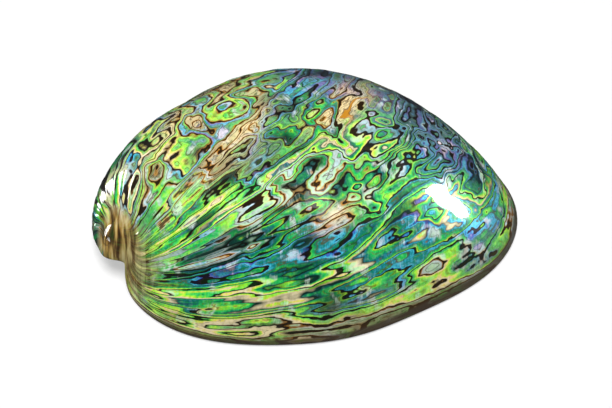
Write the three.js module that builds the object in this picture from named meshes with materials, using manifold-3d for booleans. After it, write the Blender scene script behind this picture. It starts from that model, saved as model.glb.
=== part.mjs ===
// Abalone shell with its mouth down: one low whorl that grew round a small spire at the back end.
// Millimetres, +Z up. +X is the front of the shell and +Y its left side, where the row of breathing
// holes runs. The shell rests on z = 0, with the middle of its outline over the origin.

import * as THREE from 'three';
import { ParametricGeometry } from 'three/addons/geometries/ParametricGeometry.js';
import { mergeGeometries, mergeVertices } from 'three/addons/utils/BufferGeometryUtils.js';
import Module from 'manifold-3d';

const degrees = THREE.MathUtils.degToRad;
const { lerp, smoothstep } = THREE.MathUtils;

// The lip is the rim of the mouth, flat on the ground. It is a circle drawn out by a few waves, each
// with a cosine and a sine part. A place on it is given as a share of the way round from its start.
const LIP_CENTRE = new THREE.Vector3(4, -4.2, 0);
const LIP_RADIUS = 59.6;
const LIP_WAVES = [[0.8, -1.6], [9.5, 6.5], [0.8, -1.7], [1.9, 1.4], [0.5, 0.2]];
const LIP_START = degrees(-165);

// Growth: going back in time, the lip shrinks towards the apex and turns about an axis through it.
const APEX = new THREE.Vector3(-70, -19.2, 13.5);
const AXIS_TILT = degrees(63);
const AXIS_HEADING = degrees(33.5);
const GROWTH_RATE = 0.291;

// The last whorl meets the earlier one after this turn, at this share of the way round the lip.
const WHORL_TURN = degrees(339);
const SUTURE_SHARE = 0.125;
const LIP_RISE_SHARE = 0.035;

// The left edge lies on the ground as far as the back, and is then lifted under the spire.
const LIFT_FROM = degrees(170);
const LIFT_TO = degrees(280);

// Wall, and the flat shelf that runs inside the left edge.
const WALL = 3.2;
const RIM_WIDTH = 3;
const SHELF_WIDTH = 9;
const SHELF_THICKNESS = 2;
const SHELF_LIFT = 1.2;

// Breathing holes lie along a low keel above the left edge: open ones near the front, then pits
// where older ones have closed. Holes are spaced by turn, and shrink with the shell they grew on.
const HOLE_ROW = 0.84;
const OPEN_HOLES = [12, 23, 35, 48, 62, 77].map(degrees);
const CLOSED_HOLES = [93, 109, 125].map(degrees);
const HOLE_LENGTH = 8;
const HOLE_WIDTH = 5.5;
const PIT_DEPTH = 1;
const KEEL_HEIGHT = 1.6;
const KEEL_WIDTH = 0.05;

// The faceted sheets: a row is a line of growth, and a column runs back from the lip to the apex.
// Rows are closest near the lip, and columns near the two ends of a row.
const ROWS_PER_WHORL = 38;
const COLUMNS = 32;
const OUTER_ROWS = 2 * ROWS_PER_WHORL;
const INNER_ROWS = Math.round(1.2 * ROWS_PER_WHORL);
const ROW_CROWDING = 1.2;
const COLUMN_CROWDING = 0.065;
const HOLE_SIDES = 16;

const axis = new THREE.Vector3(
  -Math.sin(AXIS_TILT) * Math.cos(AXIS_HEADING),
  -Math.sin(AXIS_TILT) * Math.sin(AXIS_HEADING),
  Math.cos(AXIS_TILT),
);

function flatLip(share) {
  const angle = LIP_START + share * 2 * Math.PI;
  let radius = LIP_RADIUS;
  LIP_WAVES.forEach(([cosine, sine], index) => {
    radius += cosine * Math.cos((index + 1) * angle) + sine * Math.sin((index + 1) * angle);
  });
  return new THREE.Vector3(radius * Math.cos(angle), radius * Math.sin(angle), 0).add(LIP_CENTRE);
}

function growBack(point, turn) {
  const arm = point.clone().sub(APEX).applyAxisAngle(axis, turn);
  return arm.multiplyScalar(Math.exp(-GROWTH_RATE * turn)).add(APEX);
}

// The lip starts on the side of the earlier whorl and drops from there to the ground.
const sutureEnd = growBack(flatLip(SUTURE_SHARE), WHORL_TURN);
const lipRise = sutureEnd.clone().sub(flatLip(0));

function lip(share) {
  const fade = Math.max(0, 1 - share / LIP_RISE_SHARE) ** 2;
  const raised = new THREE.Vector3(lipRise.x * fade, lipRise.y * fade, lipRise.z * fade);
  return flatLip(share).add(raised);
}

const surface = (turn, share) => growBack(lip(share), turn);

function edgeHeight(turn) {
  return sutureEnd.z * smoothstep(turn, LIFT_FROM, LIFT_TO);
}

// How far round the lip the shell reaches before it meets the ground on the left side.
function edgeShare(turn) {
  const firstTurn = 0.03;
  const back = Math.max(turn, firstTurn);
  const isAbove = (share) => surface(back, share).z > edgeHeight(back);
  let high = 0.01;
  while (isAbove(high)) high += 0.01;
  let low = high - 0.01;
  for (let step = 0; step < 40; step += 1) {
    const middle = (low + high) / 2;
    if (isAbove(middle)) low = middle;
    else high = middle;
  }
  return low;
}

function outward(turn, share) {
  const step = 1e-4;
  const back = surface(turn + step, share).sub(surface(turn - step, share));
  const round = surface(turn, share + step).sub(surface(turn, share - step));
  return round.cross(back).normalize();
}

const rowTurn = (row) => {
  const whorl = Math.floor(row / ROWS_PER_WHORL);
  const part = (row - whorl * ROWS_PER_WHORL) / ROWS_PER_WHORL;
  return WHORL_TURN * (whorl + part ** ROW_CROWDING);
};
const columnPlace = (column) => {
  const even = column / COLUMNS;
  return even - COLUMN_CROWDING * Math.sin(2 * Math.PI * even);
};
const reaches = Array.from({ length: OUTER_ROWS + 1 }, (_, row) => (
  row < ROWS_PER_WHORL ? edgeShare(rowTurn(row)) : SUTURE_SHARE
));

function keel(turn, place) {
  const across = Math.exp(-(((place - HOLE_ROW) / KEEL_WIDTH) ** 2)) * (1 - smoothstep(place, 0.95, 1));
  const along = smoothstep(turn, 0, degrees(8)) * (1 - smoothstep(turn, degrees(80), degrees(200)));
  return KEEL_HEIGHT * across * along;
}

// Outside. Past one whorl the far side of a row is the start of the row one whorl younger.
function outerPoint(row, column) {
  if (column === COLUMNS && row >= ROWS_PER_WHORL) return outerPoint(row - ROWS_PER_WHORL, 0);
  const turn = rowTurn(row);
  const place = columnPlace(column);
  const share = place * reaches[row];
  return surface(turn, share).addScaledVector(outward(turn, share), keel(turn, place));
}

function outerNormal(row, column) {
  if (column === COLUMNS && row >= ROWS_PER_WHORL) return outerNormal(row - ROWS_PER_WHORL, 0);
  const turn = rowTurn(row);
  const normal = outward(turn, columnPlace(column) * reaches[row]);
  if (column === 0) normal.add(outward(turn + WHORL_TURN, SUTURE_SHARE));
  return normal.normalize();
}

// Inside. At the rim the wall is measured level with the ground, so that the rim is flat.
function levelInward(row, column) {
  const normal = outerNormal(row, column);
  return new THREE.Vector3(-normal.x, -normal.y, 0).normalize();
}

const shelfShare = (turn) => (
  smoothstep(turn, 0, degrees(80)) * (1 - smoothstep(turn, degrees(150), degrees(250)))
);

function innerPoint(row, column) {
  if (column === COLUMNS && row >= ROWS_PER_WHORL) return innerPoint(row - ROWS_PER_WHORL, 0);
  const turn = rowTurn(row);
  const place = columnPlace(column);
  const outer = outerPoint(row, column);
  const normal = outerNormal(row, column);
  const clear = row < ROWS_PER_WHORL ? Math.min(turn / 0.25, (1 - place) / 0.12) : 1;
  const steep = smoothstep(clear, 0, 1);
  const across = new THREE.Vector3(normal.x, normal.y, normal.z * steep).normalize();
  const wall = lerp(RIM_WIDTH, WALL, steep) * Math.exp(-GROWTH_RATE * turn / 2);
  const point = outer.clone().addScaledVector(across, -wall);
  const fromEdge = COLUMNS - column;
  if (row < ROWS_PER_WHORL && fromEdge <= 2) {
    const shelf = shelfShare(turn);
    const foot = outerPoint(row, COLUMNS);
    const inward = levelInward(row, COLUMNS);
    const reach = [1, 0.9, 0.3][fromEdge] * SHELF_WIDTH * shelf + RIM_WIDTH;
    const height = [SHELF_LIFT, SHELF_LIFT + SHELF_THICKNESS, SHELF_LIFT + 2 * SHELF_THICKNESS][fromEdge];
    const onShelf = foot.clone().addScaledVector(inward, reach);
    onShelf.z += height;
    point.lerp(onShelf, shelf);
  }
  return point;
}

function borderPoint(row) {
  if (row === 0 || row === ROWS_PER_WHORL) return innerPoint(row, COLUMNS);
  const foot = outerPoint(row, COLUMNS);
  const width = RIM_WIDTH * Math.exp(-GROWTH_RATE * rowTurn(row) / 2);
  return foot.addScaledVector(levelInward(row, COLUMNS), width);
}

const sheet = (point, columns, rows, isInside) => new ParametricGeometry((u, v, target) => {
  const column = Math.round(THREE.MathUtils.clamp(isInside ? 1 - u : u, 0, 1) * columns);
  const row = Math.round(THREE.MathUtils.clamp(v, 0, 1) * rows);
  target.copy(point(row, column));
}, columns, rows);

function cap(point, rows, centre, isInside) {
  const loop = [];
  for (let column = 0; column < COLUMNS; column += 1) loop.push(point(rows, column));
  for (let row = rows - ROWS_PER_WHORL; row < rows; row += 1) loop.push(point(row, 0));
  if (isInside) loop.reverse();
  const fan = new THREE.CircleGeometry(1, loop.length);
  const places = fan.getAttribute('position');
  places.setXYZ(0, centre.x, centre.y, centre.z);
  for (let index = 0; index <= loop.length; index += 1) {
    places.setXYZ(index + 1, ...loop[index % loop.length].toArray());
  }
  return fan;
}

function rimLoop(lipPoint, edgePoint) {
  const points = [];
  for (let column = 0; column < COLUMNS; column += 1) points.push(lipPoint(0, column));
  for (let row = 0; row <= ROWS_PER_WHORL; row += 1) points.push(edgePoint(row));
  return points;
}

const ribbon = (first, second) => {
  const sides = [first, second];
  return sheet((row, column) => sides[column][row], 1, first.length - 1, false);
};

function shellSkin() {
  const outerRim = rimLoop(outerPoint, (row) => outerPoint(row, COLUMNS));
  const innerRim = rimLoop(innerPoint, borderPoint);
  const border = innerRim.slice(COLUMNS);
  const shelfEdge = border.map((_, row) => innerPoint(row, COLUMNS));
  const innerCentre = APEX.clone().addScaledVector(axis, -WALL);
  const parts = [
    sheet(outerPoint, COLUMNS, OUTER_ROWS, false),
    cap(outerPoint, OUTER_ROWS, APEX, false),
    sheet(innerPoint, COLUMNS, INNER_ROWS, true),
    cap(innerPoint, INNER_ROWS, innerCentre, true),
    ribbon(outerRim, innerRim),
    ribbon(border, shelfEdge),
  ];
  parts.forEach((part) => {
    part.deleteAttribute('normal');
    part.deleteAttribute('uv');
  });
  return mergeVertices(mergeGeometries(parts), 1e-4);
}

const wasm = await Module();
wasm.setup();

function toSolid(geometry) {
  const triVerts = [];
  const index = geometry.getIndex().array;
  for (let corner = 0; corner < index.length; corner += 3) {
    const [a, b, c] = index.slice(corner, corner + 3);
    if (a !== b && b !== c && c !== a) triVerts.push(a, b, c);
  }
  return new wasm.Manifold(new wasm.Mesh({
    numProp: 3,
    vertProperties: new Float32Array(geometry.getAttribute('position').array),
    triVerts: new Uint32Array(triVerts),
  }));
}

function toGeometry(solid) {
  const mesh = solid.getMesh();
  const geometry = new THREE.BufferGeometry();
  geometry.setAttribute('position', new THREE.BufferAttribute(mesh.vertProperties, 3));
  geometry.setIndex(new THREE.BufferAttribute(mesh.triVerts, 1));
  geometry.computeVertexNormals();
  return geometry;
}

// Puts a round cutter, one unit across with its axis along Y, over a hole: it is drawn out to an
// oval along the row of holes, and its axis is set square to the wall.
function overHole(cutter, turn, depth) {
  const onRow = (angle) => surface(angle, HOLE_ROW * edgeShare(angle));
  const up = outward(turn, HOLE_ROW * edgeShare(turn));
  const across = onRow(turn + 0.01).sub(onRow(turn)).cross(up).normalize();
  const centre = onRow(turn).addScaledVector(up, keel(turn, HOLE_ROW));
  const along = up.clone().cross(across);
  const size = Math.exp(-GROWTH_RATE * turn / 2);
  cutter.scale(HOLE_LENGTH * size, depth, HOLE_WIDTH * size);
  cutter.applyMatrix4(new THREE.Matrix4().makeBasis(along, up, across).setPosition(centre));
  cutter.deleteAttribute('normal');
  cutter.deleteAttribute('uv');
  return toSolid(mergeVertices(cutter, 1e-4));
}

function abaloneShell() {
  let solid = toSolid(shellSkin());
  OPEN_HOLES.forEach((turn) => {
    const bar = new THREE.CylinderGeometry(0.5, 0.5, 1, HOLE_SIDES);
    solid = solid.subtract(overHole(bar, turn, 6 * WALL));
  });
  CLOSED_HOLES.forEach((turn) => {
    const ball = new THREE.SphereGeometry(0.5, HOLE_SIDES, HOLE_SIDES / 2);
    solid = solid.subtract(overHole(ball, turn, 2 * PIT_DEPTH));
  });
  return toGeometry(solid);
}

const shell = new THREE.Mesh(abaloneShell(), new THREE.MeshStandardMaterial({
  color: 0x3f7f66,
  roughness: 0.12,
  metalness: 0.1,
}));
shell.name = 'shell';

const abalone = new THREE.Group();
abalone.add(shell);
export default abalone;
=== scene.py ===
"""Looks of the abalone shell: one grown wall of polished nacre, mouth down on a pale studio floor."""

import math

import bmesh
import bpy
import numpy as np
from bpy.props import FloatProperty, FloatVectorProperty, PointerProperty
from mathutils import Matrix, Vector


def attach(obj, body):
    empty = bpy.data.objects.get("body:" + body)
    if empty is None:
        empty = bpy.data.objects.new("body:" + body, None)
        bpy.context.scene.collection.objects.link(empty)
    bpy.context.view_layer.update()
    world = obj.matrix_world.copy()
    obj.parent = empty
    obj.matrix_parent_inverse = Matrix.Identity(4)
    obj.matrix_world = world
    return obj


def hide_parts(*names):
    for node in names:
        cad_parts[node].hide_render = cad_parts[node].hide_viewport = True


bl_info = {
    "name": "Abalone shell",
    "version": (1, 0, 0),
    "blender": (4, 5, 0),
    "location": "View3D > Sidebar > Abalone",
    "description": "Grows a polished abalone shell round its packed solid, with a stage for it",
    "category": "Add Mesh",
}

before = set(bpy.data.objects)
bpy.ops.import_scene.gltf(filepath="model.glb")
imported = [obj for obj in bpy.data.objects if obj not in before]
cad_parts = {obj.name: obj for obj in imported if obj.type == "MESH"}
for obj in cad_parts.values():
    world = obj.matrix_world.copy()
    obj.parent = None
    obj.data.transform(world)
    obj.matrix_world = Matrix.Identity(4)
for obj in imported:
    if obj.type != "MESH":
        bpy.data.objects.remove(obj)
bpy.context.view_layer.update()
MM = 0.001
TINY = 1e-6

# The lip, flat on the ground: a circle drawn out by a few waves, each with a cosine and a sine part.
LIP_CENTRE = np.array([4, -4.2, 0]) * MM
LIP_RADIUS = 59.6 * MM
LIP_WAVES = ((0.8, -1.6), (9.5, 6.5), (0.8, -1.7), (1.9, 1.4), (0.5, 0.2))
LIP_START = math.radians(-165)

# Growth: going back in time, the lip shrinks towards the apex and turns about an axis through it.
APEX = np.array([-70, -19.2, 13.5]) * MM
AXIS_TILT = math.radians(63)
AXIS_HEADING = math.radians(33.5)
AXIS = np.array([
    -math.sin(AXIS_TILT) * math.cos(AXIS_HEADING),
    -math.sin(AXIS_TILT) * math.sin(AXIS_HEADING),
    math.cos(AXIS_TILT),
])
GROWTH_RATE = 0.291

# The last whorl meets the earlier one after this turn, at this share of the way round the lip.
WHORL_TURN = math.radians(339)
SUTURE_SHARE = 0.125
LIP_RISE_SHARE = 0.035

# The left edge lies on the ground as far as the back, and is then lifted under the spire.
LIFT_FROM = math.radians(170)
LIFT_TO = math.radians(280)

# The search for the left edge, by height over the ground. The lip lies flat all round, so it takes the
# edge that the surface has this little turn further back in growth.
LEAST_TURN = 0.03
SHARE_STEP = 0.01
HALVINGS = 30

# Breathing holes, by the turn at which each was made, and the keel that they lie along. The row and the
# keel's width are shares of a line of growth.
HOLE_ROW = 0.84
OPEN_HOLES = [math.radians(turn) for turn in (12, 23, 35, 48, 62, 77)]
CLOSED_HOLES = [math.radians(turn) for turn in (93, 109, 125)]
HOLE_STEP = 0.01
KEEL_HEIGHT = 1.6 * MM
KEEL_WIDTH = 0.05
KEEL_FULL = math.radians(8)
KEEL_FADES = (math.radians(80), math.radians(200))

# The inside of the wall: the flat rim gives way to it over this turn and this share of a row. The shelf
# along the left edge widens up to one turn and narrows again between two, and its edge is rounded.
RIM_TURN = 0.25
RIM_SHARE = 0.12
SHELF_FULL = math.radians(80)
SHELF_FADES = (math.radians(150), math.radians(250))
SHELF_LIP = 0.05

# Worn waves along the lines of growth, as (height, waves by turn, waves by share, start).
RIPPLES = ((1, 23, 9, 0), (0.7, 41, -14, 1.3), (0.5, 67, 22, 2.1))

# The meshed sheets: a row is a line of growth, and a column runs back from the lip to the apex.
ROWS_PER_WHORL = 220
COLUMNS = 150
SPIRE_COLUMNS = 25
OUTER_WHORLS = 2.0
INNER_WHORLS = 1.5
ROW_CROWDING = 1.5
COLUMN_CROWDING = 0.09
OUTER_TIP_REACH = 6 * MM
INNER_TIP_REACH = 20 * MM

# A face's material: the outside, the cut edge of the wall, or the inside.
OUTSIDE, RIM, INSIDE = 0, 1, 2
CREASE = math.radians(35)

# The spire is worn down to a smooth knob, by passes of smoothing as (reach, number), and swells at its
# back. The inside is smoothed there as well, and drawn back to leave the wall thick.
KNOB_MIDDLE = Vector((-68, -20, 13)) * MM
KNOB_POLISH = ((12 * MM, 20), (8 * MM, 60), (5 * MM, 60), (3 * MM, 40))
KNOB_SWELL = Vector((-73, -21, 8)) * MM
KNOB_SWELL_WAY = Vector((-1.4, -1.6, -1.8)) * MM
KNOB_SWELL_REACH = 7 * MM
HOLLOW_POLISH = (9 * MM, 60)
HOLLOW_DEPTH = 2.6 * MM
HOLLOW_REACH = 8 * MM

# The spool that cuts a breathing hole: widths in radii of the hole, depths in walls, and the heights of
# the flare that rounds the hole's edge in roundings.
HOLE_SIDES = 48
HOLE_RIM_STEPS = 8
SPOOL_DEPTH = 2
SPOOL_TOP, SPOOL_FOOT = 1.7, 1.3
SPOOL_WAIST_DEPTH = 1.2
FLARE_WIDTH, FLARE_CURVE = 0.5, 2.5
FLARE_TOP, FLARE_DEPTH = 0.6, 1.8

# Nacre: layers for each radian of growth, which are broader from this far back on.
LAYERS_PER_RADIAN = 15
BROAD_FROM = 1.15
BROADENING = 0.65
THIN_FILMS_PER_LAYER = 3.0
STEPS_PER_LAYER = 4.0
LIP_LENGTH = 374 * MM

# Waves and spots in the nacre, in numbers per metre. A pair counts them per metre round the lip and per
# radian of growth.
SWAY, LENSES, STREAKS, CREASES = (22, 10), (60, 34), (1300, 16), (140, 95)
ISLANDS, KINKS, SWELLS, DRIFT, SHADES, MOTTLE, GRAIN = 74, 300, 75, 42, 55, 170, 900
RIBS_ACROSS, RIBS_ALONG = 520, 60

# Offsets that give each use of the steady random numbers a draw of its own.
FILM_DRAW, THIN_DRAW, STEP_DRAW, SHADE_DRAW, PALE_DRAW, LIT_DRAW = 7.3, 91.3, 11.9, 31.7, 57.1, 77.9

# Places with looks of their own: ribs on the knob, cream nacre under a painted highlight above it and the
# notch beside it.
KNOB_CRUST = Vector((-66, -21, 15)) * MM
KNOB_CREAM_HIGHLIGHT = Vector((-67, -5, 24)) * MM
NOTCH_MIDDLE = Vector((-59, -30, 10)) * MM

# Painted shade of the lip's undercut, dark brown along the lip, in radians of growth: a dark band, and a
# paler one that fades out.
LIP_SHADE_BAND = (0.028, 0.012)
LIP_SHADE_FADE = (0.035, 0.04)

# Soft patches where a look is common, as (name, turn in radians, share, reach in turn, reach in share,
# strength).
SWIRLY = (
    ("crown", 1.25, 0.28, 0.45, 0.13, 7.0),
    ("middle", 0.75, 0.30, 0.25, 0.07, 4.0),
    ("front", 0.45, 0.42, 0.35, 0.06, 9.0),
    ("back", 1.9, 0.15, 0.4, 0.10, 7.0),
)
HUES = (
    ("lower edge", 0.15, 0.14, 0.20, 0.12, -0.12),
    ("left edge", 1.1, 0.08, 0.9, 0.05, -0.16),
    ("right", 0.75, 0.44, 0.28, 0.045, 0.34),
    ("lower right", 0.2, 0.33, 0.12, 0.10, -0.09),
    ("right middle", 0.42, 0.36, 0.12, 0.05, 0.12),
    ("lower middle", 0.30, 0.28, 0.08, 0.07, -0.16),
    ("front", 0.2, 0.42, 0.16, 0.06, -0.05),
    ("back", 1.5, 0.20, 0.22, 0.08, 0.18),
    ("top", 1.1, 0.40, 0.2, 0.06, 0.22),
    ("middle", 0.5, 0.17, 0.10, 0.07, 0.12),
)
# Patches of painted shade over the layers, and, with a negative strength, patches of painted light.
LIGHT_AND_SHADE_PATCHES = (
    ("right", 0.85, 0.46, 0.4, 0.05, 0.35),
    ("fold", 1.10, 0.22, 0.08, 0.12, 0.5),
    ("lower", 0.25, 0.22, 0.06, 0.10, 0.1),
    ("lower right", 0.15, 0.34, 0.15, 0.12, -0.3),
    ("front", 0.14, 0.41, 0.12, 0.04, -0.3),
    ("left", 1.3, 0.07, 0.4, 0.04, -0.35),
    ("suture", 1.5, 0.01, 2.0, 0.03, 0.3),
)
# Patches where layers show white: partly pale nacre, partly painted glare where the polish shines with
# light.
PALE_AND_GLARE = (
    ("middle", 0.72, 0.22, 0.16, 0.07, 0.48),
    ("centre", 0.55, 0.27, 0.08, 0.04, 0.55),
    ("left", 1.6, 0.08, 0.45, 0.04, 0.4),
    ("crown", 1.25, 0.14, 0.08, 0.04, 0.4),
    ("bands", 0.84, 0.10, 0.14, 0.03, -0.25),
    ("lower right", 0.15, 0.34, 0.2, 0.12, 0.05),
)
TANNED = (
    ("back", 1.80, 0.27, 0.25, 0.15, 1.3),
    ("crown", 1.37, 0.24, 0.11, 0.06, 1.2),
    ("ridge", 1.47, 0.335, 0.06, 0.04, 1.0),
    ("top", 1.00, 0.37, 0.10, 0.06, 1.2),
    ("side", 1.28, 0.19, 0.25, 0.08, 0.45),
    ("centre", 0.56, 0.265, 0.05, 0.025, 0.9),
    ("notch", 0.6, 0.0, 1.2, 0.035, 0.9),
    ("lower edge", 0.05, 0.2, 0.1, 0.25, 0.35),
)
# Patches of painted haze and painted shade at the right and the top: a grey veil of reflection over darker
# layers.
HAZE_AND_SHADE = (
    ("right", 0.75, 0.45, 0.40, 0.055, 1.5),
    ("top", 1.3, 0.40, 0.3, 0.05, 0.5),
)

# Camera: sizes in pixels are of the 612 x 408 image.
IMAGE_WIDTH = 612
CAMERA_FOCAL = 1820
CAMERA_SHIFT = 2
CAMERA_TARGET = (0, -6.2 * MM, 15 * MM)
CAMERA_DISTANCE = 0.65
CAMERA_HEIGHT = math.radians(50)

# The studio's floor gives way to its walls, and these to its ceiling, between two heights of the way
# that a ray goes, where -1 is straight down and 1 is straight up.
FLOOR_TO_WALLS = (-0.25, 0.0)
WALLS_TO_CEILING = (0.05, 0.5)

# The floor lies just under the rim. A light is (name, way to it, distance, width, height, watts). The
# polish doesn't mirror the fill light, and the highlights show in the polish alone.
FLOOR_GAP = 0.2 * MM
FLOOR_GREY = (0.30, 0.30, 0.30)
FILL_LIGHT = ("fill", (-0.15, 0.05, 0.97), 1.8, 1.6, 1.6, 72)
HIGHLIGHTS = (
    ("right_softbox", (0.845, 0.10, 0.525), 1.6, 0.30, 0.44, 18),
    ("left_softbox", (-0.85, 0.49, -0.14), 1.6, 0.6, 0.7, 13),
    ("top_softbox", (0.42, -0.14, 0.90), 1.6, 0.5, 0.35, 2),
)


def smooth(value, low, high):
    """A smooth step from 0 at low to 1 at high."""
    x = np.clip((np.asarray(value, float) - low) / (high - low), 0, 1)
    return x * x * (3 - 2 * x)


def unit(vectors):
    return vectors / np.maximum(np.linalg.norm(vectors, axis=-1, keepdims=True), 1e-12)


def flat_lip(share):
    """A point on the lip, by its share of the way round."""
    angle = LIP_START + np.asarray(share, float) * 2 * math.pi
    radius = np.full(angle.shape, LIP_RADIUS)
    for number, (cosine, sine) in enumerate(LIP_WAVES, 1):
        radius += (cosine * np.cos(number * angle) + sine * np.sin(number * angle)) * MM
    outline = np.stack([radius * np.cos(angle), radius * np.sin(angle), np.zeros(angle.shape)], -1)
    return outline + LIP_CENTRE


def grow_back(points, turn):
    """Where points on the lip were, this turn earlier in growth."""
    arm = points - APEX
    turn = np.asarray(turn, float)[..., None]
    turned = arm * np.cos(turn) + np.cross(AXIS, arm) * np.sin(turn)
    turned += AXIS * (arm @ AXIS)[..., None] * (1 - np.cos(turn))
    return turned * np.exp(-GROWTH_RATE * turn) + APEX


SUTURE_END = grow_back(flat_lip(SUTURE_SHARE), WHORL_TURN)
LIP_RISE = SUTURE_END - flat_lip(0)


def surface(turn, share):
    """The grown surface, before keel and ripples."""
    turn, share = np.broadcast_arrays(np.asarray(turn, float), np.asarray(share, float))
    fade = np.clip(1 - share / LIP_RISE_SHARE, 0, 1) ** 2
    return grow_back(flat_lip(share) + LIP_RISE * fade[..., None], turn)


def outward(turn, share):
    """The way out of the grown surface, square to it."""
    step = 1e-4
    back = surface(turn + step, share) - surface(turn - step, share)
    round_lip = surface(turn, share + step) - surface(turn, share - step)
    return unit(np.cross(round_lip, back))


def edge_share(turn):
    """How far round the lip the shell reaches before its left edge."""
    turn = max(turn, LEAST_TURN)
    height = SUTURE_END[2] * smooth(turn, LIFT_FROM, LIFT_TO)
    high = SHARE_STEP
    while surface(turn, high)[..., 2] > height:
        high += SHARE_STEP
    low = high - SHARE_STEP
    for _ in range(HALVINGS):
        middle = (low + high) / 2
        if surface(turn, middle)[..., 2] > height:
            low = middle
        else:
            high = middle
    return low


def keel(turn, place):
    """Height of the keel that the holes lie along."""
    across = np.exp(-(((place - HOLE_ROW) / KEEL_WIDTH) ** 2)) * (1 - smooth(place, 0.95, 1))
    along = smooth(turn, 0, KEEL_FULL) * (1 - smooth(turn, *KEEL_FADES))
    return KEEL_HEIGHT * across * along


class Whorls:
    """Tables of the sheets' points, by row and column."""

    def __init__(self, sizes, whorls):
        self.sizes = sizes
        self.rows = round(whorls * ROWS_PER_WHORL)
        row = np.arange(self.rows + 1)
        whorl = row // ROWS_PER_WHORL
        part = (row % ROWS_PER_WHORL) / ROWS_PER_WHORL
        self.turn = WHORL_TURN * (whorl + part ** ROW_CROWDING)
        even = np.arange(COLUMNS + 1) / COLUMNS
        self.place = even - COLUMN_CROWDING * np.sin(2 * math.pi * even)
        reach = [edge_share(t) if t < WHORL_TURN else SUTURE_SHARE for t in self.turn]
        self.turns = np.repeat(self.turn[:, None], COLUMNS + 1, 1)
        self.shares = np.array(reach)[:, None] * self.place
        self.body = slice(0, ROWS_PER_WHORL + 1)
        self.normal = self._normals()
        self.outer = self._outer()

    def _weld(self, table):
        """Past one whorl, the far side of a row is the start of the row one whorl younger."""
        later = np.arange(ROWS_PER_WHORL, self.rows + 1)
        table[later, COLUMNS] = table[later - ROWS_PER_WHORL, 0]
        return table

    def _normals(self):
        normal = outward(self.turns, self.shares)
        normal[:, 0] += outward(self.turn + WHORL_TURN, np.full(self.turn.shape, SUTURE_SHARE))
        return self._weld(unit(normal))

    def _outer(self):
        lift = keel(self.turns, self.place)
        lift = lift + ripples(self.turns, self.shares, self.place, self.sizes.ripple_height)
        points = surface(self.turns, self.shares) + self.normal * lift[..., None]
        for turn in CLOSED_HOLES:
            points -= self.normal * pit(points, turn, self.sizes)[..., None]
        return self._weld(points)

    def edge_distance(self):
        """Distance over the surface to the rim, by the shorter of the two ways."""
        back = np.linalg.norm(np.diff(self.outer, axis=0), axis=-1)
        from_lip = np.vstack([np.zeros((1, COLUMNS + 1)), np.cumsum(back, 0)])
        across = np.linalg.norm(np.diff(self.outer, axis=1), axis=-1)[:, ::-1]
        from_edge = np.hstack([np.zeros((self.rows + 1, 1)), np.cumsum(across, 1)])[:, ::-1].copy()
        from_edge[ROWS_PER_WHORL:] = np.inf
        return from_lip, from_edge

    def rounded(self):
        """The outside, with its rim rounded over."""
        from_lip, from_edge = self.edge_distance()
        radius = self.sizes.rim_rounding
        near = np.clip(1 - np.minimum(from_lip, from_edge) / radius, 0, 1)
        near[ROWS_PER_WHORL:] = 0
        inset = radius * (1 - np.sqrt(1 - near ** 2))
        level = unit(self.normal * [1, 1, 0])
        return self._weld(self.outer - level * inset[..., None])

    def inner(self):
        """The inside: the wall's thickness in from the outside, with the shelf along the left edge."""
        sizes = self.sizes
        clear = np.minimum(self.turns / RIM_TURN, (1 - self.place) / RIM_SHARE)
        clear[ROWS_PER_WHORL:] = 1
        steep = smooth(clear, 0, 1)
        across = unit(self.normal * np.stack([np.ones_like(steep), np.ones_like(steep), steep], -1))
        wall = (sizes.rim_width * (1 - steep) + sizes.wall * steep) * np.exp(-GROWTH_RATE * self.turns / 2)
        points = self.outer - across * wall[..., None]
        _, from_edge = self.edge_distance()
        reach = np.clip(1 - from_edge / sizes.shelf_foot, 0, 1)
        shelf = smooth(self.turns, 0, SHELF_FULL)
        shelf *= 1 - smooth(self.turns, *SHELF_FADES)
        level = -unit(self.normal[:, -1:] * [1, 1, 0])
        thick = sizes.shelf_lift + sizes.shelf_thickness * (1 - np.exp(-(1 - reach) / SHELF_LIP))
        points += level * (shelf * sizes.shelf_width * reach ** 2)[..., None]
        points[..., 2] += shelf * thick * reach
        return self._weld(points)

    def border(self):
        """The inner line of the flat rim along the left edge."""
        body = self.body
        width = self.sizes.rim_width * np.exp(-GROWTH_RATE * self.turn[body] / 2)
        level = -unit(self.normal[body, -1] * [1, 1, 0])
        return self.outer[body, -1] + level * width[:, None]


def ripples(turn, share, place, height):
    """Low waves along the lines of growth, strongest where the lines crowd together at the back."""
    wave = sum(
        size * np.sin(by_turn * turn + by_share * share + start)
        for size, by_turn, by_share, start in RIPPLES
    )
    crowd = 0.35 + 0.65 * np.exp(-share / 0.09)
    rim = smooth(turn, 0, 0.12) * smooth(place, 0, 0.04) * (1 - smooth(place, 0.9, 1))
    return height * wave * crowd * rim * np.exp(-GROWTH_RATE * turn / 2)


def hole_seat(turn):
    """Centre of a breathing hole on the keel, the way out of it and the way along the row."""
    share = HOLE_ROW * edge_share(turn)
    up = outward(turn, share)
    centre = surface(turn, share) + up * keel(turn, HOLE_ROW)
    older = turn + HOLE_STEP
    onward = surface(older, HOLE_ROW * edge_share(older)) - surface(turn, share)
    across = unit(np.cross(onward, up))
    return centre, up, np.cross(up, across)


def pit(points, turn, sizes):
    """Depth of the hollow left where an old breathing hole has closed."""
    centre, up, along = hole_seat(turn)
    size = math.exp(-GROWTH_RATE * turn / 2)
    offset = points - centre
    length = (offset @ along) / (sizes.hole_length * size / 2)
    width = (offset @ np.cross(along, up)) / (sizes.hole_width * size / 2)
    height = (offset @ up) / sizes.hole_length
    return sizes.pit_depth * np.exp(-(length ** 2 + width ** 2 + height ** 2))


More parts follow.
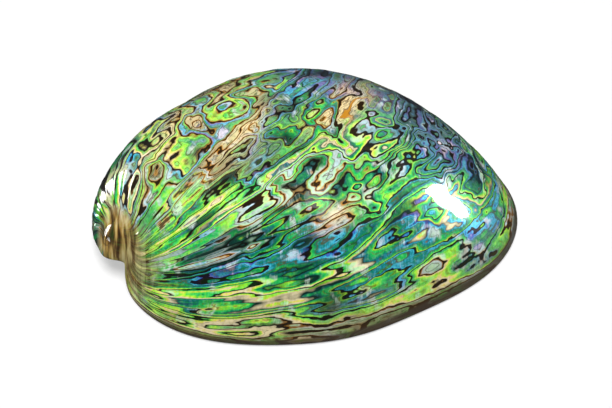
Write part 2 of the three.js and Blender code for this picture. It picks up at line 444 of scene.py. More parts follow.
def add_sheet(bm, points, uvs, material, flip=False):
    """A grid whose vertices are laid on a table of points."""
    rows, columns = points.shape[0] - 1, points.shape[1] - 1
    uv_layer = bm.loops.layers.uv.get("growth") or bm.loops.layers.uv.new("growth")
    made = bmesh.ops.create_grid(bm, x_segments=columns, y_segments=rows, size=0.5)["verts"]
    spot = {}
    for vert in made:
        column = round((vert.co.x + 0.5) * columns)
        row = round((vert.co.y + 0.5) * rows)
        spot[vert] = (row, column)
        vert.co = points[row, column]
    faces = {face for vert in made for face in vert.link_faces}
    for face in faces:
        face.smooth = True
        face.material_index = material
        for loop in face.loops:
            loop[uv_layer].uv = uvs[spot[loop.vert]]
    if flip:
        bmesh.ops.reverse_faces(bm, faces=list(faces))


def coarse_columns(points):
    """Moves a row's vertices in groups onto a few of them, to meet a sheet with fewer columns."""
    step = COLUMNS // SPIRE_COLUMNS
    nearest = np.round(np.arange(COLUMNS + 1) / step).astype(int) * step
    return points[nearest]


def add_whorls(bm, whorls, points, material, flip):
    """The last whorl finely meshed, then the spire with fewer columns."""
    uvs = np.stack([whorls.turns, whorls.shares], -1)
    body = whorls.body
    body_points = points[body].copy()
    body_points[-1] = coarse_columns(body_points[-1])
    add_sheet(bm, body_points, uvs[body], material, flip)
    step = COLUMNS // SPIRE_COLUMNS
    spire = slice(ROWS_PER_WHORL, whorls.rows + 1)
    add_sheet(bm, points[spire, ::step], uvs[spire, ::step], material, flip)


def close_tip(bm, tip, reach, material):
    """Closes the open end of a sheet's spire with a fan to its middle."""
    near = [
        edge for edge in bm.edges
        if edge.is_boundary and (edge.verts[0].co - tip).length < reach
    ]
    filled = bmesh.ops.holes_fill(bm, edges=near, sides=0)["faces"]
    fan = bmesh.ops.poke(bm, faces=filled)
    for vert in fan["verts"]:
        vert.co = tip
    for face in fan["faces"]:
        face.smooth = True
        face.material_index = material


def add_ribbon(bm, first, second, first_uvs, second_uvs, material):
    """One strip of faces between two lines of points."""
    add_sheet(bm, np.stack([first, second], 1), np.stack([first_uvs, second_uvs], 1), material, True)


def rim_loop(lip_points, edge_points):
    """One line of points along the lip and on down the left edge."""
    return np.vstack([lip_points[:-1], edge_points])


def only_of(bm, material):
    """The vertices whose faces all have one material."""
    return [vert for vert in bm.verts if all(face.material_index == material for face in vert.link_faces)]


def smooth_near(bm, verts, middle, reach, passes):
    near = [vert for vert in verts if (vert.co - middle).length < reach]
    for _ in range(passes):
        bmesh.ops.smooth_vert(
            bm, verts=near, factor=0.5, use_axis_x=True, use_axis_y=True, use_axis_z=True)


def polish_knob(bm):
    """Wears the coils of the spire down to one smooth knob, and draws the inside back from it."""
    outside = only_of(bm, OUTSIDE)
    for reach, passes in KNOB_POLISH:
        smooth_near(bm, outside, KNOB_MIDDLE, reach, passes)
    for vert in outside:
        near = (vert.co - KNOB_SWELL).length / KNOB_SWELL_REACH
        vert.co += KNOB_SWELL_WAY * math.exp(-near * near)
    inside = only_of(bm, INSIDE)
    smooth_near(bm, inside, Vector(APEX), *HOLLOW_POLISH)
    for vert in inside:
        near = (vert.co - Vector(APEX)).length / HOLLOW_REACH
        vert.co -= Vector(AXIS) * (HOLLOW_DEPTH * math.exp(-near * near))


def shell_mesh(sizes):
    """The whole wall before its holes are cut: outside, inside and the rim between them."""
    outer = Whorls(sizes, OUTER_WHORLS)
    inner = Whorls(sizes, INNER_WHORLS)
    outside = outer.rounded()
    hollow = inner.inner()
    border = inner.border()
    border[0] = hollow[0, -1]
    border[-1] = hollow[ROWS_PER_WHORL, -1]
    body = outer.body
    edge_uvs = np.stack([outer.turns[body, -1], outer.shares[body, -1]], -1)
    bm = bmesh.new()
    add_whorls(bm, outer, outside, OUTSIDE, True)
    close_tip(bm, Vector(APEX), OUTER_TIP_REACH, OUTSIDE)
    add_whorls(bm, inner, hollow, INSIDE, False)
    outer_rim = rim_loop(outside[0], outside[body, -1])
    inner_rim = rim_loop(hollow[0], border)
    way_round = np.linspace(0, 1, len(outer_rim))
    skin = np.stack([np.zeros_like(way_round), way_round], -1)
    add_ribbon(bm, outer_rim, inner_rim, skin, skin + [1, 0], RIM)
    add_ribbon(bm, border, hollow[body, -1], edge_uvs, edge_uvs, INSIDE)
    bmesh.ops.remove_doubles(bm, verts=bm.verts, dist=TINY)
    bmesh.ops.dissolve_degenerate(bm, edges=bm.edges, dist=TINY)
    close_tip(bm, Vector(APEX - AXIS * sizes.wall), INNER_TIP_REACH, INSIDE)
    polish_knob(bm)
    return bm


def hole_cutter(sizes):
    """Spools that stand square to the wall, one over each open breathing hole."""
    cutter = bmesh.new()
    for turn in OPEN_HOLES:
        centre, up, along = hole_seat(turn)
        size = math.exp(-GROWTH_RATE * turn / 2)
        depth = SPOOL_DEPTH * sizes.wall
        profile = [(0, depth), (SPOOL_TOP, depth)]
        for step in range(HOLE_RIM_STEPS + 1):
            down = step / HOLE_RIM_STEPS
            radius = 1 + FLARE_WIDTH * (1 - down) ** FLARE_CURVE
            profile.append((radius, sizes.hole_rounding * (FLARE_TOP - FLARE_DEPTH * down)))
        profile += [(1.0, -SPOOL_WAIST_DEPTH * sizes.wall), (SPOOL_FOOT, -depth), (0, -depth)]
        spool = bmesh.new()
        verts = [spool.verts.new((radius, 0, height)) for radius, height in profile]
        edges = [spool.edges.new(pair) for pair in zip(verts, verts[1:])]
        bmesh.ops.spin(
            spool, geom=verts + edges, cent=(0, 0, 0), axis=(0, 0, 1), dvec=(0, 0, 0),
            angle=2 * math.pi, steps=HOLE_SIDES, use_merge=True, use_duplicate=False,
        )
        bmesh.ops.remove_doubles(spool, verts=spool.verts, dist=TINY / 10)
        bmesh.ops.scale(
            spool, verts=spool.verts,
            vec=(sizes.hole_length * size / 2, sizes.hole_width * size / 2, 1),
        )
        seat = Matrix.Identity(4)
        for row in range(3):
            seat[row][0] = along[row]
            seat[row][1] = np.cross(up, along)[row]
            seat[row][2] = up[row]
            seat[row][3] = centre[row]
        bmesh.ops.transform(spool, matrix=seat, verts=spool.verts)
        bmesh.ops.recalc_face_normals(spool, faces=spool.faces)
        for face in spool.faces:
            face.smooth = True
            face.material_index = RIM
        one = bpy.data.meshes.new("hole")
        spool.to_mesh(one)
        spool.free()
        cutter.from_mesh(one)
        bpy.data.meshes.remove(one)
    return cutter


class Value:
    """A number that varies over a surface: expressions on it add Math nodes."""

    def __init__(self, shader, socket):
        self.shader = shader
        self.socket = socket

    def _math(self, operation, *values):
        return self.shader.math(operation, *values)

    def __add__(self, other):
        return self._math("ADD", self, other)

    def __radd__(self, other):
        return self._math("ADD", other, self)

    def __sub__(self, other):
        return self._math("SUBTRACT", self, other)

    def __rsub__(self, other):
        return self._math("SUBTRACT", other, self)

    def __mul__(self, other):
        return self._math("MULTIPLY", self, other)

    def __rmul__(self, other):
        return self._math("MULTIPLY", other, self)

    def __truediv__(self, other):
        return self._math("DIVIDE", self, other)

    def __rtruediv__(self, other):
        return self._math("DIVIDE", other, self)

    def __neg__(self):
        return self._math("MULTIPLY", self, -1)


class Shader:
    """Builds one material's nodes."""

    def __init__(self, name):
        self.material = bpy.data.materials.new(name)
        self.material.use_nodes = True
        self.tree = self.material.node_tree
        self.tree.nodes.clear()

    def node(self, kind, settings=None, **inputs):
        """Adds a node: its settings are set first, then the values or links of its sockets."""
        made = self.tree.nodes.new(kind)
        for name, setting in (settings or {}).items():
            if name == "stops":
                self._stops(made.color_ramp, setting)
            else:
                setattr(made, name, setting)
        for name, given in inputs.items():
            self.feed(self._socket(made, name), given)
        return made

    def _stops(self, ramp, stops):
        while len(ramp.elements) < len(stops):
            ramp.elements.new(1)
        for element, (place, colour) in zip(ramp.elements, stops):
            element.position = place
            element.color = (*colour, 1)

    def _socket(self, made, name):
        if name.startswith("input_"):
            return made.inputs[int(name[6:])]
        return made.inputs[name.replace("_", " ")]

    def feed(self, socket, given):
        if isinstance(given, Value):
            given = given.socket
        if isinstance(given, bpy.types.NodeSocket):
            self.tree.links.new(given, socket)
        elif socket.type == "RGBA":
            socket.default_value = (*given, 1)
        else:
            socket.default_value = given

    def math(self, operation, *values):
        inputs = {f"input_{index}": value for index, value in enumerate(values)}
        return Value(self, self.node("ShaderNodeMath", {"operation": operation}, **inputs).outputs[0])

    def mix(self, factor, first, second):
        """A blend of two colours."""
        made = self.tree.nodes.new("ShaderNodeMix")
        made.data_type = "RGBA"
        self.feed(made.inputs[0], factor)
        self.feed(made.inputs[6], first)
        self.feed(made.inputs[7], second)
        return made.outputs[2]

    def noise(self, place, scale, detail=2.0, distortion=0.0):
        made = self.node(
            "ShaderNodeTexNoise", Vector=place, Scale=scale, Detail=detail, Distortion=distortion)
        return Value(self, made.outputs["Fac"])

    def growth(self):
        """How far back in growth a point is, and how far round the lip."""
        place = self.node("ShaderNodeUVMap", {"uv_map": "growth"}).outputs[0]
        return self.axes(place)[:2]

    def object_place(self):
        return self.node("ShaderNodeTexCoord").outputs["Object"]

    def axes(self, place):
        parts = self.node("ShaderNodeSeparateXYZ", Vector=place)
        return [Value(self, part) for part in parts.outputs]

    def distance(self, place, middle):
        made = self.node("ShaderNodeVectorMath", {"operation": "DISTANCE"})
        self.feed(made.inputs[0], place)
        self.feed(made.inputs[1], middle)
        return Value(self, made.outputs["Value"])

    def random(self, number):
        """A steady random number from 0 to 1 for each whole number."""
        made = self.node("ShaderNodeTexWhiteNoise", {"noise_dimensions": "1D"}, W=number)
        return Value(self, made.outputs["Value"])

    def rise(self, value, low, high):
        """0 up to low, 1 from high on, and smooth between them."""
        made = self.node("ShaderNodeMapRange", {"interpolation_type": "SMOOTHSTEP"})
        for number, given in enumerate((value, low, high)):
            self.feed(made.inputs[number], given)
        return Value(self, made.outputs[0])

    def fall(self, value, start, length):
        """1 up to start, and 0 a given length on."""
        return 1 - self.rise(value, start, start + length)

    def clamp(self, value):
        made = self.node("ShaderNodeClamp")
        self.feed(made.inputs[0], value)
        return Value(self, made.outputs[0])

    def ramp(self, value, stops):
        return self.node("ShaderNodeValToRGB", {"stops": stops}, Fac=value).outputs["Color"]

    def zones(self, turn, share, zones):
        """The sum of soft patches, each with its place, its reach and its strength."""
        total = 0
        for _, at_turn, at_share, turn_reach, share_reach, strength in zones:
            across = (turn - at_turn) * (1 / turn_reach)
            around = (share - at_share) * (1 / share_reach)
            total = total + strength * self.math("EXPONENT", -(across * across + around * around))
        return total

    def vector(self, x, y):
        return self.node("ShaderNodeCombineXYZ", X=x, Y=y).outputs[0]

    def surface(self, **inputs):
        shader = self.node("ShaderNodeBsdfPrincipled", **inputs)
        self.node("ShaderNodeOutputMaterial", Surface=shader.outputs[0])
        return self.material


class NacreLayers:
    """The wavy layers that the polished outside cuts through, with a film between each two."""

    def __init__(self, shader):
        self.shader = shader
        self.turn, self.share = shader.growth()
        self.place = shader.object_place()
        shrink = shader.math("EXPONENT", self.turn * -GROWTH_RATE)
        grown = (1 - shrink) / GROWTH_RATE
        past = shader.math("MAXIMUM", grown, BROAD_FROM) - BROAD_FROM
        self.grown = grown - past * BROADENING
        self.along = self.share * shrink * LIP_LENGTH
        self.sway = self.waves(SWAY)
        self.islands = shader.noise(self.place, ISLANDS, detail=1.0, distortion=0.6)
        self.height = self._height()
        self.layer = shader.math("FLOOR", self.height)
        self.depth = self.height - self.layer
        self.film = shader.math("ROUND", self.height)
        self.off_film = shader.math("ABSOLUTE", self.height - self.film)
        self.drift = shader.noise(self.place, DRIFT, detail=1.0)
        self.mottle = shader.noise(self.place, MOTTLE, detail=1.5, distortion=0.4)
        self.streak = self.waves(STREAKS, detail=2.0)
        self.step = shader.random(shader.math("FLOOR", self.height * STEPS_PER_LAYER) + STEP_DRAW)
        # Painted light and shade across each layer: one side lit and the other shaded, as on a fold, by a
        # draw for each layer.
        self.lit_side = (self.depth - 0.5) * (shader.random(self.layer + LIT_DRAW) * 2.2 - 0.6)
        # Patches of pale nacre and of painted glare.
        self.pale_and_glare = self.patches(PALE_AND_GLARE)

    def waves(self, counts, detail=1.0):
        """Noise drawn out along the lines of growth."""
        round_lip, back = counts
        place = self.shader.vector(self.along * round_lip, self.grown * back)
        return self.shader.noise(place, 1.0, detail=detail)

    def patches(self, zones):
        return self.shader.zones(self.turn, self.share, zones)

    def round_about(self, middle, reach, fade):
        return self.shader.fall(self.shader.distance(self.place, middle), reach, fade)

    def _height(self):
        """Layers from the first one to the one cut here, with the bends and islands in them."""
        swirl = self.patches(SWIRLY)
        lens = self.waves(LENSES)
        kinks = self.shader.noise(self.place, KINKS, detail=1.5)
        calm = self.shader.fall(self.turn, 0.1, 0.2) * 0.7
        height = self.grown * LAYERS_PER_RADIAN + (self.sway - 0.5) * 8 + (lens - 0.5) * 1.6
        height = height + (self.islands - 0.5) * (1.4 + swirl) * (1 - calm)
        return height + (kinks - 0.5) * (0.5 + swirl * 0.06)

    def films(self):
        """The dark films, some broad and some fine, swollen here and there."""
        shader = self.shader
        chance = shader.random(self.film + FILM_DRAW)
        swell = shader.rise(shader.noise(self.place, SWELLS, detail=1.0), 0.52, 0.72)
        line = shader.fall(self.off_film, 0.03 + chance * 0.08 + swell * chance * 0.16, 0.06)
        return line * shader.rise(chance, 0.05, 0.25)

    def thin_films(self):
        shader = self.shader
        height = self.height * THIN_FILMS_PER_LAYER + 0.4
        film = shader.math("ROUND", height)
        line = shader.fall(shader.math("ABSOLUTE", height - film), 0.05, 0.12)
        return line * shader.rise(shader.random(film + THIN_DRAW), 0.5, 0.8)

    def hue(self, colours):
        """The layers' colours, from cream through green and blue to pink."""
        chance = self.shader.random(self.layer)
        tone = self.patches(HUES) + 0.38
        tone = tone + (chance - 0.5) * 0.36 + (self.depth - 0.5) * 0.6
        tone = tone + (self.step - 0.5) * 0.10 + (self.drift - 0.5) * 0.9
        tone = tone + (self.mottle - 0.5) * 0.35 + (self.streak - 0.5) * 0.25
        return self.shader.ramp(tone, [
            (0.00, colours.cream), (0.06, colours.gold), (0.17, colours.lime), (0.33, colours.green),
            (0.48, colours.emerald), (0.58, colours.teal), (0.68, colours.cyan), (0.78, colours.blue),
            (0.88, colours.violet), (1.00, colours.pink),
        ])

    def dark(self):
        """Whole dark layers, which are the nacre's own colour, with painted shade next to each film, in
        broad patches and on the shaded side of each layer.
        """
        shader = self.shader
        # A draw for each layer makes whole dark layers of the nacre's own colour, and the noise adds broad
        # patches of painted shade.
        shade = shader.random(self.layer + SHADE_DRAW)
        shade = shade + (shader.noise(self.place, SHADES, detail=1.0) - 0.5) * 1.5
        dark = shader.rise(shade, 0.35, 0.8) + self.patches(LIGHT_AND_SHADE_PATCHES)
        # Painted shade next to each film, as in the crease of a fold.
        near_film = shader.fall(self.off_film, 0.0, 0.35)
        dark = dark * 0.9 + near_film * 0.4 + (self.step - 0.5) * 0.3 + (self.mottle - 0.5) * 1.1
        # The painted lit side of a layer comes out lighter and its shaded side darker.
        return shader.clamp(dark - self.lit_side * 1.1)

    def pale_chance(self):
        return self.shader.random(self.layer + PALE_DRAW) + (self.drift - 0.5) * 0.8 + self.pale_and_glare

    def pale(self, chance):
        """Layers that show white, with more of them on the painted lit side of a layer and in the patches
        of painted glare.
        """
        pale = self.shader.rise(chance + (self.step - 0.5) * 0.2 + self.lit_side * 0.3, 0.9, 1.15)
        return pale * self.shader.rise(self.mottle + self.lit_side * 0.2, 0.3, 0.5)

    def glow(self, dark):
        """Painted sheen: soft bright spots within the layers, stronger on the painted lit side of a layer
        and in the patches of painted glare, and weaker where the layers are dark.
        """
        glow = self.mottle + (self.streak - 0.5) * 0.25 + self.pale_and_glare * 0.15
        glow = glow + self.lit_side * 0.12 - dark * 0.12
        return self.shader.rise(glow, 0.54, 0.70)

    def chalk(self, colours):
        """Tan nacre with brown wrinkles."""
        crease = self.waves(CREASES, detail=1.5)
        wrinkle = self.shader.fall(self.shader.math("ABSOLUTE", crease - 0.5), 0.01, 0.035)
        return self.shader.mix(wrinkle * 0.8, colours.tan, colours.bark)

    def knob(self, colour, colours):
        """Puts the brown ribs on the knob and in the notch beside it."""
        shader = self.shader
        x, y, z = shader.axes(self.place)
        ribs = shader.noise(
            shader.vector(x * RIBS_ACROSS, (y + z) * RIBS_ALONG), 1.0, detail=2.5)
        crust = shader.ramp(ribs, [
            (0.30, colours.film), (0.42, colours.bark), (0.52, colours.honey), (0.64, colours.tan),
        ])
        colour = shader.mix(self.round_about(KNOB_CRUST, 7 * MM, 6 * MM) * 0.85, colour, crust)
        khaki = shader.mix(shader.rise(ribs, 0.40, 0.55), colours.bark, colours.khaki)
        return shader.mix(self.round_about(NOTCH_MIDDLE, 4 * MM, 13 * MM) * 0.65, colour, khaki)


def outside_nacre(colours):
    """Polished nacre: layers of many colours with dark films, pale and tan patches and a brown knob, under
    painted shade, painted sheen, painted glare and a painted highlight, with a band of painted shade along
    the lip.
    """
    shader = Shader("outside_nacre")
    nacre = NacreLayers(shader)
    mottle, off_film, pale_and_glare = nacre.mottle, nacre.off_film, nacre.pale_and_glare
    dark = nacre.dark()
    pale_chance = nacre.pale_chance()
    pale = nacre.pale(pale_chance)
    glow = nacre.glow(dark)
    tan = shader.clamp(nacre.patches(TANNED))
    dusk = shader.clamp(nacre.patches(HAZE_AND_SHADE))
    hue = nacre.hue(colours)

    # Painted haze and shade: slate for the grey veil of reflection, dusk for the darker layers under it.
    night = shader.mix(dusk, colours.deep, colours.dusk)
    colour = shader.mix(dark, shader.mix(dusk * 0.55, hue, colours.slate), night)
    tint = shader.mix(0.42, colours.silver, hue)
    colour = shader.mix(pale * 0.8, colour, tint)
    # Painted sheen: soft bright spots washed towards silver.
    colour = shader.mix(glow * 0.85, colour, tint)
    # Cream nacre with a painted highlight, mottled, above the knob.
    cream_highlight = nacre.round_about(KNOB_CREAM_HIGHLIGHT, 5 * MM, 8 * MM)
    colour = shader.mix(cream_highlight * shader.rise(mottle, 0.35, 0.55) * 0.7, colour, colours.cream)
    colour = shader.mix(tan * shader.rise(pale_chance, -0.1, 0.4), colour, nacre.chalk(colours))

    grain = shader.noise(nacre.place, GRAIN, detail=2.0)
    colour = shader.mix(shader.clamp((grain - 0.5) * 0.4) * (1 - dark), colour, colours.silver)
    colour = shader.mix(shader.clamp((0.5 - grain) * 1.2), colour, colours.deep)

    halo = shader.fall(off_film, 0.10, 0.14 + pale_and_glare * 0.2)
    halo = halo * shader.rise(pale + tan + glow * 0.5 + pale_and_glare, 0.2, 0.9)
    colour = shader.mix(halo * 0.95, colour, colours.amber)
    colour = shader.mix(nacre.thin_films() * 0.7, colour, colours.bark)
    colour = shader.mix(nacre.films() * 0.97, colour, colours.film)
    # Painted shade of the lip's undercut: a fading brown band, then a dark one at the edge.
    colour = shader.mix(shader.fall(nacre.turn, *LIP_SHADE_FADE) * 0.4, colour, colours.bark)
    colour = shader.mix(shader.fall(nacre.turn, *LIP_SHADE_BAND) * 0.85, colour, colours.lip)
    colour = nacre.knob(colour, colours)

    bump = shader.node(
        "ShaderNodeBump", Strength=0.3, Distance=0.8 * MM, Height=nacre.islands * 0.7 + nacre.sway * 0.6)
    return shader.surface(
        Base_Color=colour, Metallic=0.15, Roughness=0.28, Specular_IOR_Level=0.15,
        Normal=bump.outputs[0], Coat_Weight=1.0, Coat_Roughness=0.03, Coat_IOR=1.38)


def rim_layers(colours):
    """The cut edge of the wall: fine layers from a brown skin to pale nacre."""
    shader = Shader("rim_layers")
    through, _ = shader.growth()
    place = shader.object_place()
    waver = shader.noise(place, 160, detail=2.0)
    layers = shader.noise(shader.vector(through * 14 + (waver - 0.5) * 3, 0.0), 1.0, detail=2.0)
    colour = shader.mix(shader.rise(through + (waver - 0.5) * 0.3, 0.0, 0.35), colours.bark, colours.tan)
    colour = shader.mix(shader.rise(layers, 0.5, 0.65) * 0.6, colour, colours.emerald)
    colour = shader.mix(shader.rise(through + (waver - 0.5) * 0.3, 0.6, 1.0) * 0.8, colour, colours.silver)
    return shader.surface(Base_Color=colour, Roughness=0.35)


def inside_nacre(colours):
    """The inside: silvery nacre with soft pink and green, in waves along the lines of growth."""
    shader = Shader("inside_nacre")
    turn, share = shader.growth()
    place = shader.object_place()
    drift = shader.noise(place, 38, detail=1.5, distortion=0.8)
    wave = shader.noise(shader.vector(share * 9, turn * 7), 1.0, detail=2.0)
    fine = shader.noise(shader.vector(share * 30, turn * 60), 1.0, detail=2.0)
    tone = shader.clamp((drift - 0.5) * 1.6 + (wave - 0.5) * 0.9 + (fine - 0.5) * 0.5 + 0.5)
    sheen = shader.ramp(tone, [
        (0.10, colours.cyan), (0.30, colours.green), (0.45, colours.silver), (0.58, colours.silver),
        (0.72, colours.pink), (0.90, colours.violet),
    ])
    colour = shader.mix(0.4, colours.silver, sheen)
    colour = shader.mix(shader.rise(fine, 0.58, 0.75) * 0.35, colour, colours.teal)
    return shader.surface(
        Base_Color=colour, Metallic=0.4, Roughness=0.25, Coat_Weight=0.6, Coat_Roughness=0.05)


def new_object(name, mesh):
    made = bpy.data.objects.new(name, mesh)
    bpy.context.scene.collection.objects.link(made)
    return made


def bm_object(name, bm, materials):
    mesh = bpy.data.meshes.new(name)
    bm.to_mesh(mesh)
    bm.free()
    for material in materials:
        mesh.materials.append(material)
    return new_object(name, mesh)


def cut_holes(shell, cutter):
    """Takes the cutter out of the shell's wall, and the cutter out of the scene."""
    cut = shell.modifiers.new("breathing holes", "BOOLEAN")
    cut.operation = "DIFFERENCE"
    cut.solver = "EXACT"
    cut.object = cutter
    evaluated = shell.evaluated_get(bpy.context.evaluated_depsgraph_get())
    pierced = bpy.data.meshes.new_from_object(evaluated)
    whole = shell.data
    shell.modifiers.remove(cut)
    shell.data = pierced
    bpy.data.meshes.remove(whole)
    bpy.data.meshes.remove(cutter.data)
    pierced.set_sharp_from_angle(angle=CREASE)


class ShellSizes(bpy.types.PropertyGroup):
    wall: FloatProperty(
        name="Wall", description="Thickness of the shell's wall", default=3.2 * MM, unit="LENGTH")
    rim_width: FloatProperty(
        name="Rim width", description="Flat width of the rim", default=3 * MM, unit="LENGTH")
    rim_rounding: FloatProperty(
        name="Rim rounding", description="Radius of the rim's outer edge",
        default=0.8 * MM, unit="LENGTH")
    shelf_width: FloatProperty(
        name="Shelf width", description="Reach of the shelf inside the left edge",
        default=9 * MM, unit="LENGTH")
    shelf_thickness: FloatProperty(
        name="Shelf thickness", description="Thickness of the shelf's edge",
        default=2 * MM, unit="LENGTH")
    shelf_lift: FloatProperty(
        name="Shelf lift", description="Height of the shelf over the ground",
        default=1.2 * MM, unit="LENGTH")
    shelf_foot: FloatProperty(
        name="Shelf foot", description="How far up the wall the shelf starts",
        default=14 * MM, unit="LENGTH")
    ripple_height: FloatProperty(
        name="Ripple height", description="Height of the worn growth waves",
        default=0.2 * MM, unit="LENGTH")
    hole_length: FloatProperty(
        name="Hole length", description="Length of the youngest breathing hole",
        default=8 * MM, unit="LENGTH")
    hole_width: FloatProperty(
        name="Hole width", description="Width of the youngest breathing hole",
        default=5.5 * MM, unit="LENGTH")
    hole_rounding: FloatProperty(
        name="Hole rounding", description="Rounding of a hole's edge", default=0.9 * MM, unit="LENGTH")
    pit_depth: FloatProperty(
        name="Pit depth", description="Depth of a closed breathing hole", default=1 * MM, unit="LENGTH")


def colour_setting(name, description, default):
    return FloatVectorProperty(
        name=name, description=description, default=default, size=3, min=0, max=1, subtype="COLOR")


class NacreColours(bpy.types.PropertyGroup):
    cream: colour_setting("Cream", "Palest layers", (0.75, 0.65, 0.38))
    gold: colour_setting("Gold", "Golden layers", (0.80, 0.66, 0.12))
    lime: colour_setting("Lime", "Yellow-green layers", (0.34, 0.86, 0.03))
    green: colour_setting("Green", "Green layers", (0.02, 0.56, 0.09))
    emerald: colour_setting("Emerald", "Deeper green layers", (0.006, 0.24, 0.10))
    teal: colour_setting("Teal", "Blue-green layers", (0.006, 0.20, 0.22))
    cyan: colour_setting("Cyan", "Light blue layers", (0.05, 0.50, 0.68))
    blue: colour_setting("Blue", "Blue layers", (0.02, 0.09, 0.42))
    violet: colour_setting("Violet", "Violet layers", (0.18, 0.14, 0.50))
    pink: colour_setting("Pink", "Pink layers", (0.70, 0.45, 0.55))
    silver: colour_setting("Silver", "Layers that show white", (0.88, 0.90, 0.86))
    tan: colour_setting("Tan", "Chalky layers", (0.72, 0.58, 0.30))
    # Lip is the dark brown of the painted shade along the lip's undercut.
    lip: colour_setting("Lip", "Brown edge of the outside along the lip", (0.055, 0.042, 0.030))
    # Deep green colours the dark layers and the painted shade over them.
    deep: colour_setting("Deep green", "Layers that show dark", (0.004, 0.028, 0.022))
    amber: colour_setting("Amber", "Glow beside a film", (0.46, 0.19, 0.008))
    film: colour_setting("Film", "Dark film between two layers", (0.006, 0.004, 0.003))
    bark: colour_setting("Bark", "Thin brown films and wrinkles", (0.09, 0.045, 0.014))
    khaki: colour_setting("Khaki", "Ribs in the notch beside the knob", (0.34, 0.32, 0.14))
    honey: colour_setting("Honey", "Ribs on the knob of the spire", (0.42, 0.25, 0.06))
    # Slate paints a grey veil of reflection and dusk paints shade, at the right and the top.
    slate: colour_setting("Slate", "Layers in the dusky patches", (0.16, 0.18, 0.25))
    dusk: colour_setting("Dusk", "Dark layers in the dusky patches", (0.014, 0.019, 0.036))


class StageLook(bpy.types.PropertyGroup):
    floor_size: FloatProperty(
        name="Floor size", description="Side of the square floor", default=8.0, unit="LENGTH")
    floor_glow: FloatProperty(
        name="Floor glow", description="Light that the floor gives of itself", default=0.47)
    walls: FloatProperty(
        name="Walls", description="Brightness of the studio's white walls", default=1.0)
    ceiling: FloatProperty(
        name="Ceiling", description="Brightness of the studio's ceiling", default=0.03)
    mirrored_floor: FloatProperty(
        name="Mirrored floor", description="Brightness of the floor as the polish mirrors it", default=0.55)


class ABALONE_OT_shell(bpy.types.Operator):
    """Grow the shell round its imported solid"""

    bl_idname = "abalone.shell"
    bl_label = "Grow shell"

    def execute(self, context):
        sizes = context.scene.abalone_sizes
        colours = context.scene.abalone_colours
        materials = (outside_nacre(colours), rim_layers(colours), inside_nacre(colours))
        shell = bm_object("abalone_shell", shell_mesh(sizes), materials)
        cutter = bm_object("hole_cutter", hole_cutter(sizes), materials)
        cut_holes(shell, cutter)
        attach(shell, "root")
        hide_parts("shell")
        return {"FINISHED"}


class ABALONE_OT_stage(bpy.types.Operator):
    """Lay the pale floor, and set the lights and the camera"""

    bl_idname = "abalone.stage"
    bl_label = "Set stage"

    def execute(self, context):
        look = context.scene.abalone_stage
        lay_floor(look)
        set_surroundings(context.scene, look)
        hang_lights()
        set_camera(context.scene)
        return {"FINISHED"}


def lay_floor(look):
    """A pale floor that glows a little, to stay near white round the shell, and is clear from below."""
    bm = bmesh.new()
    bmesh.ops.create_grid(bm, x_segments=1, y_segments=1, size=look.floor_size / 2)
    bmesh.ops.translate(bm, verts=bm.verts, vec=(0, 0, -FLOOR_GAP))
    shader = Shader("floor")
    pale = shader.node(
        "ShaderNodeBsdfPrincipled",
        Base_Color=FLOOR_GREY, Roughness=0.7, Specular_IOR_Level=0.0,
        Emission_Color=(1, 1, 1), Emission_Strength=look.floor_glow)
    clear = shader.node("ShaderNodeBsdfTransparent")
    from_below = shader.node("ShaderNodeNewGeometry").outputs["Backfacing"]
    both = shader.node(
        "ShaderNodeMixShader", input_0=from_below, input_1=pale.outputs[0], input_2=clear.outputs[0])
    shader.node("ShaderNodeOutputMaterial", Surface=both.outputs[0])
    floor = bm_object("floor", bm, [shader.material])
    floor.visible_glossy = False


def set_surroundings(scene, look):
    """White walls all round, a dimmer ceiling, and the floor's grey as the polish mirrors it."""
    world = bpy.data.worlds.new("studio")
    world.use_nodes = True
    tree = world.node_tree
    background = tree.nodes["Background"]
    way = tree.nodes.new("ShaderNodeTexCoord")
    parts = tree.nodes.new("ShaderNodeSeparateXYZ")
    below = tree.nodes.new("ShaderNodeMapRange")
    above = tree.nodes.new("ShaderNodeMapRange")
    for ramp, given in (
        (below, (*FLOOR_TO_WALLS, look.mirrored_floor, look.walls)),
        (above, (*WALLS_TO_CEILING, 1.0, look.ceiling / look.walls)),
    ):
        ramp.interpolation_type = "SMOOTHSTEP"
        for number, setting in enumerate(given, 1):
            ramp.inputs[number].default_value = setting
        tree.links.new(parts.outputs["Z"], ramp.inputs[0])
    both = tree.nodes.new("ShaderNodeMath")
    both.operation = "MULTIPLY"
    tree.links.new(way.outputs["Generated"], parts.inputs[0])
    tree.links.new(below.outputs[0], both.inputs[0])
    tree.links.new(above.outputs[0], both.inputs[1])
    tree.links.new(both.outputs[0], background.inputs["Strength"])
    scene.world = world
    scene.view_settings.view_transform = "Standard"


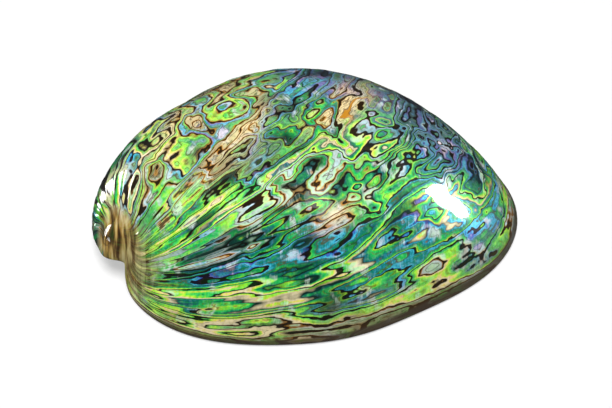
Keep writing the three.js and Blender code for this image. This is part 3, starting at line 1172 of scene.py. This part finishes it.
def softbox(name, towards, distance, width, height, power, mirrored=True, spread=True):
    """A soft light that shines at the shell from one direction."""
    way = Vector(towards).normalized()
    lamp = bpy.data.lights.new(name, "AREA")
    lamp.shape = "ELLIPSE"
    lamp.size = width
    lamp.size_y = height
    lamp.energy = power
    made = new_object(name, lamp)
    made.location = way * distance
    made.rotation_euler = way.to_track_quat("Z", "Y").to_euler()
    made.visible_glossy = mirrored
    made.visible_diffuse = spread


def hang_lights():
    softbox(*FILL_LIGHT, mirrored=False)
    for light in HIGHLIGHTS:
        softbox(*light, spread=False)


def set_camera(scene):
    camera = bpy.data.cameras.new("camera")
    camera.lens = CAMERA_FOCAL * camera.sensor_width / IMAGE_WIDTH
    camera.shift_y = CAMERA_SHIFT / IMAGE_WIDTH
    eye = new_object("camera", camera)
    away = Vector((0, -math.cos(CAMERA_HEIGHT), math.sin(CAMERA_HEIGHT)))
    eye.location = Vector(CAMERA_TARGET) + away * CAMERA_DISTANCE
    eye.rotation_euler = (math.pi / 2 - CAMERA_HEIGHT, 0, 0)
    scene.camera = eye


class ABALONE_PT_sidebar(bpy.types.Panel):
    """Sizes and colours of the shell, and the steps that make it"""

    bl_label = "Abalone shell"
    bl_idname = "ABALONE_PT_sidebar"
    bl_space_type = "VIEW_3D"
    bl_region_type = "UI"
    bl_category = "Abalone"

    def draw(self, context):
        scene = context.scene
        for group in (scene.abalone_sizes, scene.abalone_colours, scene.abalone_stage):
            for name in group.bl_rna.properties.keys():
                if name not in ("rna_type", "name"):
                    self.layout.prop(group, name)
        for step in (ABALONE_OT_shell, ABALONE_OT_stage):
            self.layout.operator(step.bl_idname)


CLASSES = (ShellSizes, NacreColours, StageLook, ABALONE_OT_shell, ABALONE_OT_stage, ABALONE_PT_sidebar)


def register():
    for made in CLASSES:
        bpy.utils.register_class(made)
    bpy.types.Scene.abalone_sizes = PointerProperty(type=ShellSizes)
    bpy.types.Scene.abalone_colours = PointerProperty(type=NacreColours)
    bpy.types.Scene.abalone_stage = PointerProperty(type=StageLook)


def unregister():
    del bpy.types.Scene.abalone_stage
    del bpy.types.Scene.abalone_colours
    del bpy.types.Scene.abalone_sizes
    for made in reversed(CLASSES):
        bpy.utils.unregister_class(made)


def main():
    register()
    bpy.ops.abalone.stage()
    bpy.ops.abalone.shell()


if __name__ == "__main__":
    main()
